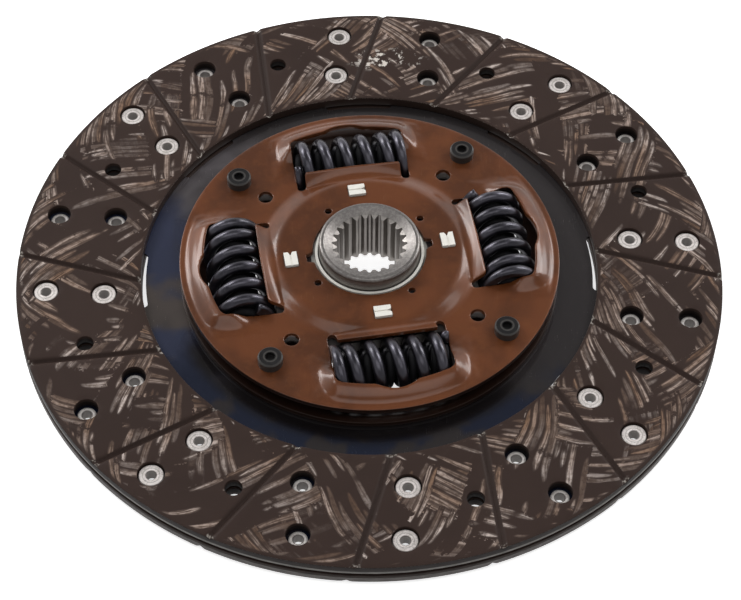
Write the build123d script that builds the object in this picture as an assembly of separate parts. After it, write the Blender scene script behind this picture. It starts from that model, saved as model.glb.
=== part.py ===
from build123d import *
from math import asin, atan2, cos, degrees, hypot, pi, radians, sin, sqrt
import os

os.makedirs("parts", exist_ok=True)

# A sprung clutch disc, gearbox side up, standing on the lower end of its hub.
# The hub's axis is +Z and its lower end is z = 0. Sizes are in millimetres, angles in degrees.

# Friction facings
facing_od = 240.0
facing_id = 155.6
facing_thickness = 3.5
cushion_gap = 1.3            # open space between the backs of the two facings
groove_count = 16
groove_width = 2.8           # at the friction face
groove_floor = 0.6
groove_depth = 1.1
groove_tilt = 16.0           # lean of a groove away from the radius
groove_angle = 1.0           # where the first groove crosses the middle of the facing
vent_circle = 100.2          # plain through holes, by radius
vent_diameter = 5.8

# Facing rivets, in rows each side of a line through the hub's axis
segment_count = 8
segment_angle = -2.6
rivet_row_offset = 16.8
rivet_inner_row = 89.0
rivet_outer_row = 108.7
rivet_shank = 4.4
rivet_bore = 3.2
rivet_head_diameter = 8.2
rivet_head_thickness = 0.9
rivet_clinch_diameter = 6.2
rivet_clinch_thickness = 0.8
rivet_chamfer = 0.25
counterbore_diameter = 9.0
counterbore_depth = 1.8
access_diameter = 8.0        # hole in one facing over the other facing's rivets
hole_clearance = 0.05

# Cushion plate: one spring-steel sheet with paddles between the facings
sheet = 0.7
paddle_edge_inset = 1.2      # paddles end this far inside the facings' outer edge
paddle_slot = 3.0
paddle_slot_lead = 5.9       # slots lie this far round from the line between rivet rows
root_slot_inset = 1.4        # roots show this far inside the facings
root_slot_width = 3.6
root_slot_span = 15.0
web_clearance = 1.2          # round the plate's hoods
tongue_inner_radius = 50.0
tongue_half_angle = 15.0
wave_start = -19.0           # where the paddle starts to drop, across its width
wave_end = 3.0

# Damper: four sprung windows and four stop pins
damper_count = 4
window_angle = 9.8
plate_gap = 5.34             # between the inner faces of the two retainer plates
retainer_rim = 2.6           # flat edge outside the hoods
retainer_thickness = 2.0
dome_rise = 2.6              # raised middle of the gearbox-side retainer
well_rise = 1.0              # the same on the flywheel side
dome_top_radius = 31.0
dome_foot_radius = 35.6
hub_hole_diameter = 38.4
window_inner = 37.15         # inner edge of a window, from the axis
window_outer_radius = 56.0
window_length = 39.4
relief_width = 3.0
relief_depth = 5.35
scallop_radius = 12.0
scallop_depth = 1.8
low_window_inner = 38.2      # the flywheel-side windows are a little smaller
low_window_trim = 0.8
lip_rise = 4.36              # inner lip above the flat of the plate
hood_rise = 3.2              # outer lip above the flat of the plate
lip_edge_width = 1.2
lip_ramp = 4.5
hood_crest = 2.4             # from the window's edge to the end of the hood's crest
hood_slope = 3.4
hood_round = 0.9
hood_end_length = 5.3
hood_end_margin = 0.6        # from the window's end to the end of the hood's crest
hood_depth = 4.0             # the hood block starts this far inside the window's edge
lip_depth = 6.0              # the lip block ends this far beyond the window's edge
lip_end_slope = 3.4

# Springs
spring_circle = 45.1         # spring centre line, from the axis
spring_diameter = 21.0
spring_wire = 4.0
spring_pitch = 7.15
inner_spring_diameter = 12.4
inner_spring_wire = 2.6
inner_spring_pitch = 3.7
ground_share = 0.15          # of the wire, ground off the middle line at each end
closed_turn_share = 1.03     # pitch of the end turns, as a share of the wire
points_per_turn = 8          # of the line a coil follows
spring_clearance = 0.3
spring_phases = [170.0, 170.0, 170.0, 170.0]

# Stop pins
pin_circle = 55.7
pin_barrel = 9.0
pin_shank = 6.2
pin_head_diameter = 8.3
pin_head_height = 3.3
pin_tail_diameter = 8.6
pin_tail_height = 1.8
pin_dimple = 3.2
pin_dimple_depth = 1.5
pin_chamfer = 0.5
twist_limit = 8.0
stop_margin = 0.3            # degrees left between a pin and its notch at the limit

# Small holes of the retainers
access_circle = 44.2
access_hole = 5.0
flange_access = 8.0
gauge_circle = 22.3
gauge_hole = 2.4
gauge_lead = 29.9
key_depth = 2.3              # notches in the edge of the hub hole
key_width = 4.0

# Hub
hub_below_flange = 11.0      # lower end to the middle of the flange
hub_above_flange = 12.2
hub_diameter = 34.4
hub_edge_round = 1.0
flange_diameter = 121.0
flange_thickness = 4.6
spline_teeth = 24
spline_major = 25.5
spline_minor = 22.4
spline_root_width = 0.7
spline_mouth_width = 2.1
mouth_diameter = 31.2
mouth_depth = 1.1

# Friction rings on the two faces of the flange
bush_outer_radius = 30.0
bush_thickness = 1.6
collar_outer = 37.0
collar_inner = 35.2
collar_top_below_dome = 0.4
tab_circle = 26.84
tab_radial = 4.4
tab_width = 5.7
tab_stand = 0.8              # tabs stand this far out of the retainer
tab_groove = 0.5
tab_notch = 1.5
tab_notch_sides = [1, -1, -1, 1]
slot_clearance = 0.2
cone_inner_radius = 19.9
cone_outer_radius = 24.0
cone_thickness = 0.7
rubbing_clearance = 0.05
running_clearance = 0.08

# Cutting shapes reach this far past the faces they cut
margin = 1.0

# Levels worked out from the sizes above
mid = hub_below_flange
hub_top = hub_below_flange + hub_above_flange
retainer_low = mid + plate_gap / 2
retainer_top = retainer_low + retainer_thickness
lower_retainer_top = mid - plate_gap / 2
lower_retainer_low = lower_retainer_top - retainer_thickness
sheet_top = lower_retainer_low
sheet_low = sheet_top - sheet
pack_mid = (sheet_top + sheet_low) / 2
wave = (cushion_gap - sheet) / 2
dome_under = retainer_low + dome_rise
dome_top = retainer_top + dome_rise
flange_top = mid + flange_thickness / 2
flange_low = mid - flange_thickness / 2
segment_pitch = 360 / segment_count
hood_foot_radius = window_outer_radius + hood_crest + hood_slope
retainer_radius = hood_foot_radius + retainer_rim
web_inner_radius = hood_foot_radius + web_clearance
root_slot_radius = facing_id / 2 - root_slot_inset + root_slot_width / 2
paddle_radius = facing_od / 2 - paddle_edge_inset
spring_half = window_length / 2
pin_angle = window_angle + 180 / damper_count

BASE = (Align.CENTER, Align.CENTER, Align.MIN)


def spot(radius, angle, z=0.0):
    """A location at a radius and angle about the hub's axis."""
    return Rot(0, 0, angle) * Pos(radius, 0, z)


def round_bar(diameter, low, high):
    """A cylinder on the current axis between two heights."""
    return Pos(0, 0, low) * Cylinder(diameter / 2, high - low, align=BASE)


def upright(outline, low, high):
    """A flat outline drawn on XY, raised from one height to another."""
    return Pos(0, 0, low) * extrude(outline, amount=high - low, dir=(0, 0, 1))


def turned(points):
    """A profile of (radius, height) points turned about the hub's axis."""
    face = make_face(Polyline(*[(r, 0, z) for r, z in points], close=True))
    return revolve(face, axis=Axis.Z)


def rivet_spots(side):
    """Radius and angle of each rivet on one side of the segments' centre lines."""
    spots = []
    for i in range(segment_count):
        for row in (rivet_inner_row, rivet_outer_row):
            lean = degrees(atan2(rivet_row_offset, row))
            reach = hypot(row, rivet_row_offset)
            spots.append((reach, segment_angle + i * segment_pitch + side * lean))
    return spots


def vent_spots():
    """Radius and angle of each plain hole, midway between two segments' centre lines."""
    first = segment_angle + segment_pitch / 2
    return [(vent_circle, first + i * segment_pitch) for i in range(segment_count)]


def between_windows(radius):
    """Radius and angle of one spot midway between each two windows."""
    return [(radius, pin_angle + 90 * i) for i in range(damper_count)]


def circles(spots, diameter):
    """Flat discs at a list of spots."""
    return [spot(r, a) * Circle(diameter / 2) for r, a in spots]


def groove_cutters():
    """Soft-sided grooves that cross the friction face at a slant."""
    middle = (facing_od + facing_id) / 4
    run = facing_od / 2
    top, floor = groove_width / 2, groove_floor / 2
    rise = groove_depth / 2
    side = (top - floor) * (1 + rise / groove_depth)
    face = facing_thickness
    outline = Polyline(
        (0, -floor, face - groove_depth),
        (0, floor, face - groove_depth),
        (0, floor + side, face + rise),
        (0, -floor - side, face + rise),
        close=True,
    )
    bar = extrude(make_face(outline), amount=run / 2, dir=(1, 0, 0), both=True)
    pitch = 360 / groove_count
    lean = Rot(0, 0, -groove_tilt)
    return [spot(middle, groove_angle + i * pitch) * lean * bar for i in range(groove_count)]


def facing():
    """A moulded friction ring, back at z = 0 and friction face up, as the gearbox side has it."""
    plan = Circle(facing_od / 2) - Circle(facing_id / 2)
    plan -= circles(rivet_spots(1), rivet_shank + 2 * hole_clearance)
    plan -= circles(rivet_spots(-1), access_diameter)
    plan -= circles(vent_spots(), vent_diameter)
    ring = upright(plan, 0, facing_thickness)
    wells = Sketch() + circles(rivet_spots(1), counterbore_diameter)
    ring -= upright(wells, facing_thickness - counterbore_depth, facing_thickness + margin)
    ring -= groove_cutters()
    return ring


def flipped(shape):
    """The same piece turned over about a segment's centre line, through the middle of the pack."""
    turn = Rot(0, 0, segment_angle) * Rot(180, 0, 0) * Rot(0, 0, -segment_angle)
    return Pos(0, 0, pack_mid) * turn * Pos(0, 0, -pack_mid) * shape


def facing_rivet():
    """A tubular rivet set from the gearbox side, in its final height."""
    seat = pack_mid + cushion_gap / 2 + facing_thickness - counterbore_depth
    under = pack_mid + wave - sheet / 2
    top = seat + rivet_head_thickness
    low = under - rivet_clinch_thickness
    head, clinch = rivet_head_diameter / 2, rivet_clinch_diameter / 2
    shank, bore, edge = rivet_shank / 2, rivet_bore / 2, rivet_chamfer
    return turned([
        (bore, low), (bore, top - edge), (bore + edge, top), (head - edge, top), (head, top - edge),
        (head, seat), (shank, seat), (shank, under), (clinch, under), (clinch, low + edge),
        (clinch - edge, low),
    ])


def facing_rivets():
    """All the rivets that hold the gearbox-side facing."""
    rivet = facing_rivet()
    return [spot(r, a) * rivet for r, a in rivet_spots(1)]


def cushion_plate():
    """Flat web with tongues to the stop pins, and paddles that wave between the facings."""
    slot_angle = segment_angle + paddle_slot_lead
    tongues = [Rot(0, 0, pin_angle + 90 * i) * tongue() for i in range(damper_count)]
    web = Circle(facing_id / 2 + root_slot_width) - Circle(web_inner_radius)
    web += tongues
    web -= circles(between_windows(pin_circle), pin_shank + 2 * hole_clearance)
    roots, slots = [], []
    for i in range(segment_count):
        angle = slot_angle + i * segment_pitch
        arc = CenterArc((0, 0), root_slot_radius, angle - root_slot_span / 2, root_slot_span)
        roots.append(SlotArc(arc, root_slot_width))
        bar = Pos(facing_od / 4, 0) * Rectangle(facing_od / 2, paddle_slot)
        slots.append(spot(root_slot_radius, angle) * bar)
    plate = upright(web, sheet_low, sheet_top)
    for i in range(segment_count):
        plate += Rot(0, 0, slot_angle + (i + 0.5) * segment_pitch) * paddle()
    plate -= upright(Sketch() + roots + slots, sheet_low - cushion_gap, sheet_top + cushion_gap)
    holes = circles(rivet_spots(1) + rivet_spots(-1), rivet_shank + 2 * hole_clearance)
    holes += circles(vent_spots(), access_diameter)
    return plate - upright(Sketch() + holes, sheet_low - cushion_gap, sheet_top + cushion_gap)


def tongue():
    """A tongue of the web that a stop pin clamps."""
    ring = Circle(web_inner_radius + margin) - Circle(tongue_inner_radius)
    reach = 2 * web_inner_radius
    rise = reach * sin(radians(tongue_half_angle)) / cos(radians(tongue_half_angle))
    return ring & make_face(Polyline((0, 0), (reach, -rise), (reach, rise), close=True))


def paddle():
    """One paddle on +X: raised on one half, lowered on the other."""
    half = sheet / 2
    edge = facing_od / 2
    line = [(-edge, wave), (wave_start, wave), (wave_end, -wave), (edge, -wave)]
    outline = [(y, pack_mid + z + half) for y, z in line]
    outline += [(y, pack_mid + z - half) for y, z in reversed(line)]
    strip = make_face(Polyline(*[(0, y, z) for y, z in outline], close=True))
    strip = extrude(strip, amount=facing_od, dir=(1, 0, 0))
    ring = Circle(paddle_radius) - Circle(facing_id / 2 - margin)
    rise = facing_od * sin(radians(segment_pitch / 2)) / cos(radians(segment_pitch / 2))
    sector = ring & make_face(Polyline((0, 0), (facing_od, -rise), (facing_od, rise), close=True))
    return strip & upright(sector, sheet_low - cushion_gap, sheet_top + cushion_gap)


def across(points, half):
    """A profile of (distance from the axis, height) points, run across a window."""
    face = make_face(Polyline(*[(u, 0, z) for u, z in points], close=True))
    return extrude(face, amount=half, dir=(0, 1, 0), both=True)


def sloping_ends(foot, crest, top):
    """A block whose two ends slope in from the foot's half-width to the crest's."""
    flat = retainer_thickness
    outline = Polyline(
        (0, -foot, 0), (0, foot, 0), (0, foot, flat),
        (0, crest, top), (0, -crest, top), (0, -foot, flat),
        close=True,
    )
    return extrude(make_face(outline), amount=2 * retainer_radius, dir=(1, 0, 0))


def pressed_form(rise, inner_edge, outer_edge):
    """Everything under the outer skin of a retainer, its flat underside at z = 0."""
    flat = retainer_thickness
    lip, hood = flat + lip_rise, flat + hood_rise
    base = Cylinder(retainer_radius, flat, align=BASE)
    base += Pos(0, 0, flat) * Cone(dome_foot_radius, dome_top_radius, rise, align=BASE)
    inner = dome_top_radius / 2
    beyond = inner_edge + lip_depth
    crest = inner_edge - lip_edge_width
    ramp_foot = crest - lip_ramp
    profile = [(inner, 0), (inner, flat + rise), (ramp_foot, flat + rise), (crest, lip)]
    lobe = across(profile + [(beyond, lip), (beyond, 0)], spring_half)
    lobe_crest = spring_half - relief_width
    lobe &= sloping_ends(lobe_crest + lip_end_slope, lobe_crest, lip)
    mouth = outer_edge - hood_depth
    crest = window_outer_radius + hood_crest
    foot = hood_foot_radius
    bulge = turned([
        (mouth, 0), (mouth, hood), (crest, hood), (crest + hood_round, hood - hood_round / 2),
        (foot - hood_round, flat + hood_round / 2), (foot, flat), (foot, 0),
    ])
    hood_half = spring_half + hood_end_margin
    bulge &= sloping_ends(hood_half + hood_end_length, hood_half, hood)
    for i in range(damper_count):
        base += Rot(0, 0, window_angle + 90 * i) * lobe
        base += Rot(0, 0, window_angle + 90 * i) * bulge
    return base


def window_outline(inner_edge, outer_edge, scalloped):
    """A spring window on +X: straight inner edge, curved outer edge, reliefs at the corners."""
    depth = outer_edge - inner_edge
    opening = Pos(inner_edge + depth / 2, 0) * Rectangle(depth, window_length)
    opening &= Circle(outer_edge)
    if scalloped:
        scallop = Pos(outer_edge + scallop_depth - scallop_radius, 0) * Circle(scallop_radius)
        reach = 2 * (scallop_radius - scallop_depth)
        opening += scallop & Pos(outer_edge, 0) * Rectangle(reach, window_length)
    tip = window_inner - relief_depth
    for side in (-1, 1):
        line = side * (spring_half - relief_width / 2)
        centre = tip + relief_width / 2
        reach = inner_edge + margin - centre
        opening += Pos(centre, line) * Circle(relief_width / 2)
        opening += Pos(centre + reach / 2, line) * Rectangle(reach, relief_width)
    return opening


def retainer(rise, small_holes, inner_edge, outer_edge, scalloped):
    """A pressed retainer plate with its underside at z = 0, facing up."""
    form = pressed_form(rise, inner_edge, outer_edge)
    plate = form - Pos(0, 0, -retainer_thickness) * form
    cuts = Sketch() + Circle(hub_hole_diameter / 2)
    opening = window_outline(inner_edge, outer_edge, scalloped)
    cuts += [Rot(0, 0, window_angle + 90 * i) * opening for i in range(damper_count)]
    cuts += circles(between_windows(pin_circle), pin_shank + 2 * hole_clearance)
    cuts += circles(between_windows(access_circle), access_hole)
    cuts += small_holes
    plate -= upright(cuts, -margin, retainer_thickness + lip_rise + margin)
    return plate


def spring_tunnel():
    """The space that the four springs need, with a little to spare."""
    bore = spring_diameter / 2 + spring_clearance
    bar = Rot(90, 0, 0) * Cylinder(bore, window_length)
    return [spot(spring_circle, window_angle + 90 * i, mid) * bar for i in range(damper_count)]


def gearbox_retainer():
    """The upper plate, with slots for the bush's tabs and small gauge and key holes."""
    lead = window_angle + gauge_lead
    holes = circles([(gauge_circle, lead + 90 * i) for i in range(damper_count)], gauge_hole)
    key_reach = hub_hole_diameter / 2 + key_depth
    key = Pos(key_reach / 2, 0) * Rectangle(key_reach, key_width)
    holes += [Rot(0, 0, window_angle + 180 * i) * key for i in range(2)]
    slot = Rectangle(tab_radial + 2 * slot_clearance, tab_width + 2 * slot_clearance)
    holes += [spot(tab_circle, window_angle + 90 * i) * slot for i in range(damper_count)]
    plate = retainer(dome_rise, holes, window_inner, window_outer_radius, True)
    return Pos(0, 0, retainer_low) * plate - spring_tunnel()


def flywheel_retainer():
    """The lower plate, pressed the other way up, with plain, slightly smaller windows."""
    plate = retainer(well_rise, [], low_window_inner, window_outer_radius - low_window_trim, False)
    plate = Pos(0, 0, lower_retainer_top) * mirror(plate, about=Plane.XY)
    return plate - spring_tunnel()


def stop_pin():
    """A shouldered pin riveted through the cushion plate and both retainers."""
    head_top = retainer_top + pin_head_height
    tail_low = sheet_low - pin_tail_height
    head, tail = pin_head_diameter / 2, pin_tail_diameter / 2
    shank, barrel = pin_shank / 2, pin_barrel / 2
    dimple = pin_dimple / 2
    return turned([
        (0, tail_low), (tail - pin_chamfer, tail_low), (tail, tail_low + pin_chamfer),
        (tail, sheet_low), (shank, sheet_low), (shank, lower_retainer_top),
        (barrel, lower_retainer_top), (barrel, retainer_low), (shank, retainer_low),
        (shank, retainer_top), (head, retainer_top), (head, head_top - pin_chamfer),
        (head - pin_chamfer, head_top), (dimple, head_top), (dimple, head_top - pin_dimple_depth),
        (0, head_top - pin_dimple_depth),
    ])


def splined_hub():
    """Hub barrel, flange with open spring pockets and stop notches, and the splined bore."""
    outer, mouth = hub_diameter / 2, mouth_diameter / 2
    edge = hub_edge_round
    barrel = round_bar(hub_diameter, 0, hub_top)
    barrel = fillet(barrel.edges().filter_by(GeomType.CIRCLE), edge)
    plan = Circle(flange_diameter / 2)
    pocket_inner = spring_circle - spring_diameter / 2 - spring_clearance
    pocket = Pos(pocket_inner + flange_diameter / 2, 0) * Rectangle(flange_diameter, window_length)
    plan -= [Rot(0, 0, window_angle + 90 * i) * pocket for i in range(damper_count)]
    plan -= [Rot(0, 0, pin_angle + 90 * i) * stop_notch() for i in range(damper_count)]
    plan -= circles(between_windows(access_circle), flange_access)
    hub = barrel + upright(plan, flange_low, flange_top)
    hub -= upright(spline_outline(), -margin, hub_top + margin)
    below = mouth_depth * mouth / (mouth - spline_major / 2)
    hub -= Pos(0, 0, hub_top - below) * Cone(0.01, mouth, below, align=BASE)
    hub -= Pos(0, 0, hub_top) * Cylinder(mouth, margin, align=BASE)
    hub -= Cone(mouth, 0.01, below, align=BASE)
    return hub


def stop_notch():
    """The notch on +X that a stop pin travels in."""
    sweep = twist_limit + stop_margin
    width = pin_barrel + 2 * spring_clearance
    arc = CenterArc((0, 0), pin_circle, -sweep, 2 * sweep)
    side = sweep + degrees(asin(width / 2 / pin_circle))
    reach = flange_diameter
    rise = reach * sin(radians(side)) / cos(radians(side))
    wedge = make_face(Polyline((0, 0), (reach, -rise), (reach, rise), close=True))
    return SlotArc(arc, width) + (wedge - Circle(pin_circle))


def spline_outline():
    """The splined bore: a round bore with a tapering space for each tooth of the shaft."""
    tip, root = spline_minor / 2, spline_major / 2
    narrow, wide = spline_root_width / 2, spline_mouth_width / 2
    back = tip - margin
    edge = Polyline(
        (back, -wide), (tip, -wide), (root, -narrow), (root, narrow), (tip, wide), (back, wide),
        close=True,
    )
    space = make_face(edge)
    return Circle(tip) + [Rot(0, 0, 360 / spline_teeth * i) * space for i in range(spline_teeth)]


def friction_bush():
    """The gearbox-side plastic ring: a collar round the hub, and four tabs through the retainer."""
    low = flange_top + rubbing_clearance
    top = low + bush_thickness
    ring = round_bar(2 * bush_outer_radius, low, top)
    ring += round_bar(collar_outer, low, dome_top - collar_top_below_dome)
    tab_top = dome_top + tab_stand
    block = upright(Rectangle(tab_radial, tab_width), top, tab_top)
    block -= Pos(0, 0, tab_top) * Box(tab_groove, tab_width + margin, tab_groove)
    notch = make_face(Polyline((-tab_notch / 2, 0), (tab_notch / 2, 0), (0, -tab_notch), close=True))
    block -= Pos(0, tab_width / 2, 0) * upright(notch, dome_top - tab_stand, tab_top + tab_stand)
    for i, side in enumerate(tab_notch_sides):
        tab = block if side > 0 else mirror(block, about=Plane.XZ)
        ring += spot(tab_circle, window_angle + 90 * i) * tab
    return ring - round_bar(collar_inner, low - margin, dome_top + margin)


def cone_spring():
    """The dished spring that presses the bush on the flange."""
    foot = flange_top + rubbing_clearance + bush_thickness
    return turned([
        (cone_inner_radius, dome_under - cone_thickness), (cone_outer_radius, foot),
        (cone_outer_radius, foot + cone_thickness), (cone_inner_radius, dome_under),
    ])


def centring_bush():
    """The flywheel-side ring that the hub runs in: a washer with a collar in the retainer's hole."""
    top = flange_low - rubbing_clearance
    seat = lower_retainer_top - well_rise
    ring = round_bar(2 * bush_outer_radius, seat, top)
    ring += round_bar(hub_hole_diameter - 2 * hole_clearance, seat - retainer_thickness, seat)
    low = seat - retainer_thickness
    return ring - round_bar(hub_diameter + 2 * running_clearance, low - margin, top + margin)


def coil_path(radius, wire, pitch, hand):
    """A spring's centre line along +Y: closed end turns and open turns between."""
    start = spring_half - wire * ground_share
    closed = wire * closed_turn_share
    open_turns = 2 * (start - closed) / pitch
    turns = open_turns + 2
    steps = round(turns * points_per_turn)
    points = []
    for i in range(steps + 1):
        t = turns * i / steps
        opened = max(0, min(t - 1, open_turns))
        along = closed * (min(t, 1) + max(0, t - 1 - open_turns)) + pitch * opened - start
        angle = hand * 2 * pi * t
        points.append((radius * cos(angle), along, -radius * sin(angle)))
    return Spline(*points)


def coil_spring(diameter, wire, pitch, hand):
    """A coil spring along Y with flat ground ends."""
    path = coil_path((diameter - wire) / 2, wire, pitch, hand)
    section = Plane(origin=path @ 0, z_dir=path % 0) * Circle(wire / 2)
    coil = sweep(section, path=path, is_frenet=True)
    return coil & Box(2 * diameter, window_length, 2 * diameter)


def in_window(index, shape):
    """A spring set in its window, turned about its own axis."""
    turn = Rot(0, spring_phases[index], 0)
    return spot(spring_circle, window_angle + 90 * index, mid) * turn * shape


def write(name, shape):
    """One node as a STEP file; a list becomes a group of separate solids."""
    whole = Compound(children=shape) if isinstance(shape, list) else shape
    export_step(whole, "parts/" + name + ".step")


def main():
    friction_ring = facing()
    upper = Pos(0, 0, pack_mid + cushion_gap / 2) * friction_ring
    write("facing_gearbox_side", upper)
    write("facing_flywheel_side", flipped(upper))
    rivets = facing_rivets()
    write("facing_rivets_gearbox_side", rivets)
    write("facing_rivets_flywheel_side", [flipped(rivet) for rivet in rivets])
    write("cushion_plate", cushion_plate())
    write("retainer_plate_gearbox_side", gearbox_retainer())
    write("retainer_plate_flywheel_side", flywheel_retainer())
    write("splined_hub", splined_hub())
    write("friction_bush_gearbox_side", friction_bush())
    write("cone_spring", cone_spring())
    write("centring_bush_flywheel_side", centring_bush())
    pin = stop_pin()
    outer = coil_spring(spring_diameter, spring_wire, spring_pitch, 1)
    inner = coil_spring(inner_spring_diameter, inner_spring_wire, inner_spring_pitch, -1)
    for i in range(damper_count):
        write(f"stop_pin_{i + 1}", spot(pin_circle, pin_angle + 90 * i) * pin)
        write(f"damper_spring_{i + 1}", in_window(i, outer))
        write(f"inner_spring_{i + 1}", in_window(i, inner))


main()
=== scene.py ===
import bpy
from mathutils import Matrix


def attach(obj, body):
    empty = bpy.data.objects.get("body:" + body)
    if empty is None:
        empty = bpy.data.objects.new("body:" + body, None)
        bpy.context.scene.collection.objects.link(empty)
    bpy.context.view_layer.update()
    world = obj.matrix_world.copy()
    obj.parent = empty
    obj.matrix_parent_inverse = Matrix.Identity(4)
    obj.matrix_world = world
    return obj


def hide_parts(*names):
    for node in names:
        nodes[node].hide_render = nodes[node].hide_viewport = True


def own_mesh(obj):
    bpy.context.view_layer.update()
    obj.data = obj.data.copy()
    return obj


bl_info = {
    "name": "Clutch Disc",
    "version": (1, 0, 0),
    "blender": (4, 5, 0),
    "location": "View3D > Sidebar > Clutch Disc",
    "description": "Dresses a sprung clutch disc: facings, plates, springs, pins and hub",
    "category": "Object",
}

from math import atan2, cos, degrees, hypot, pi, radians, sin, sqrt

import bpy
from mathutils import Matrix, Vector, geometry, kdtree

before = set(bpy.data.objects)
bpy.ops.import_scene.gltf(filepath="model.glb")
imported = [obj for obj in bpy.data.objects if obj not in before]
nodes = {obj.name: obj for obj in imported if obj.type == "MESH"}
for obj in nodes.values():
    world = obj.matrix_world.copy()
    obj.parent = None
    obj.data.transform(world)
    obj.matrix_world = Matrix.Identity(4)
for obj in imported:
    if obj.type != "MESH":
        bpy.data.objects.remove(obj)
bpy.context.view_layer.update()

# ---------------------------------------------------------------- sizes, in millimetres and degrees

MM = 0.001
DAMPERS = 4
MID = 11.0                # height of the middle of the damper
PACK_MID = 5.98           # height of the middle of the facings
PACK_HALF_GAP = 0.65      # half the open space between the facings

FACING_INNER = 77.8
FACING_OUTER = 120.0
FACING_MIDDLE = 98.9
FACING_THICK = 3.5
SEGMENT_ANGLE = -2.6
RIVET_OFFSET = 16.8
RIVET_ROWS = (89.0, 108.7)
SEAT_RADIUS = 4.5
SEAT_HEIGHT = 1.7
SHANK_HOLE = 2.25
REACH_HOLE = 4.0          # over the other facing's rivets
VENT_CIRCLE = 100.2
VENT_HOLE = 2.9
GROOVES = 16
GROOVE_ANGLE = 1.0
GROOVE_TILT = 16.0

PLATE_RADIUS = 64.4
PLATE_THICK = 2.0
PLATE_HALF_GAP = 2.67
HUB_HOLE = 19.2
KEY_RADIUS = 21.5
DOME_FOOT = 38.2
DOME_TOP = 30.4
DOME_RISE = 2.6
WELL_RISE = 1.0           # the same on the flywheel side
PIN_CIRCLE = 55.7
PIN_HOLE = 3.15
ACCESS_CIRCLE = 44.2
ACCESS_HOLE = 2.5
GAUGE_CIRCLE = 22.3
GAUGE_LEAD = 29.9
GAUGE_HOLE = 1.2
TAB_CIRCLE = 26.84
TAB_SLOT = (4.8, 6.1)

WINDOW_ANGLE = 9.8
WINDOW_INNER = 37.15
LOW_WINDOW_INNER = 38.2
WINDOW_OUTER = 56.0
LOW_WINDOW_TRIM = 0.8
WINDOW_HALF = 19.7
RELIEF_WIDTH = 3.0
RELIEF_TIP = 31.8
SCALLOP_RADIUS = 12.0
SCALLOP_CENTRE = 45.8
FLAP_FOOT = 32.2
LIP_RISE = 4.36
HOOD_RISE = 3.3
HOOD_FOOT = 62.0
HOOD_RUN = 7.2

SPRING_CIRCLE = 45.1
SPRING_ROOM = 10.8
OUTER_TURN = 170.0        # where each coil starts
INNER_TURN = 40.0

YARN_LOBES = 5.4
YARN_SWING = 22.4
YARN_BUNDLES = 40.0
YARNS_A_BUNDLE = 5.0

CAMERA_PLACE = (0.000428, -0.47946, 0.60460)
CAMERA_LOOK = (0, 0.61558, -0.78808)
CAMERA_UP = (0, 0.78808, 0.61558)
CAMERA_ROLL = 0.0067277

# name, place in metres, size in metres, power in watts
LAMPS = (
    ("lamp_over", (0.0, -0.45, 1.40), (1.6, 0.8), 6.0),
    ("lamp_over_left", (-0.80, 0.85, 0.90), (0.46, 0.42), 6.0),
    ("lamp_over_right", (0.80, 0.85, 0.90), (0.46, 0.42), 5.2),
    ("lamp_left", (-1.05, 0.75, 0.62), (0.30, 0.45), 3.2),
    ("lamp_right", (1.05, 0.75, 0.60), (0.30, 0.45), 2.8),
    ("lamp_spot_left", (-0.86, 0.28, 1.08), (0.20, 0.28), 1.1),
    ("lamp_spot_right", (0.86, 0.24, 1.06), (0.20, 0.28), 0.6),
)


# ---------------------------------------------------------------- settings


def tinted(name, about, value):
    """A colour in the panel."""
    return bpy.props.FloatVectorProperty(
        name=name, description=about, subtype="COLOR", size=3, min=0.0, max=1.0, default=value)


def sized(name, about, value, low, high):
    """A number in the panel."""
    return bpy.props.FloatProperty(name=name, description=about, default=value, min=low, max=high)


class ClutchFinish(bpy.types.PropertyGroup):
    """Colours of the disc's finishes."""

    resin: tinted("Lining resin", "Dark binder between the yarns", (0.034, 0.0205, 0.0165))
    yarn_warm: tinted("Warm yarn", "Browner bundles of yarn", (0.205, 0.120, 0.075))
    yarn_pale: tinted("Pale yarn", "Paler, greyer bundles of yarn", (0.520, 0.440, 0.400))
    lacquer: tinted("Plate lacquer", "Copper-brown lacquer of the pressed plates", (0.112, 0.033, 0.0095))
    blued: tinted("Blued steel", "Tempered blue of the cushion plate", (0.060, 0.070, 0.125))
    spring: tinted("Spring lacquer", "Blue-black lacquer of the springs", (0.060, 0.057, 0.070))
    bush: tinted("Bush plastic", "Off-white plastic of the friction bush", (0.78, 0.76, 0.70))
    steel: tinted("Machined steel", "Bare steel of the hub", (0.55, 0.525, 0.505))
    nickel: tinted("Rivet plating", "Pale plating of the facing rivets", (0.80, 0.745, 0.715))


class ClutchPlates(bpy.types.PropertyGroup):
    """Sizes of the two pressed plates, in millimetres."""

    spacing: sized("Mesh spacing", "Distance between the points of a plate's mesh", 1.05, 0.4, 4.0)
    edge: sized("Edge radius", "Rounding of the sheared edges", 0.22, 0.05, 0.6)


class ClutchFacings(bpy.types.PropertyGroup):
    """Sizes of the two friction facings, in millimetres."""

    spacing: sized("Mesh spacing", "Distance between the points of a facing's mesh", 3.0, 1.0, 8.0)
    edge: sized("Edge radius", "Rounding of the moulded edges", 0.22, 0.05, 0.6)
    groove_depth: sized("Groove depth", "Depth of the grooves below the friction face", 1.1, 0.2, 2.0)


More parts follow.
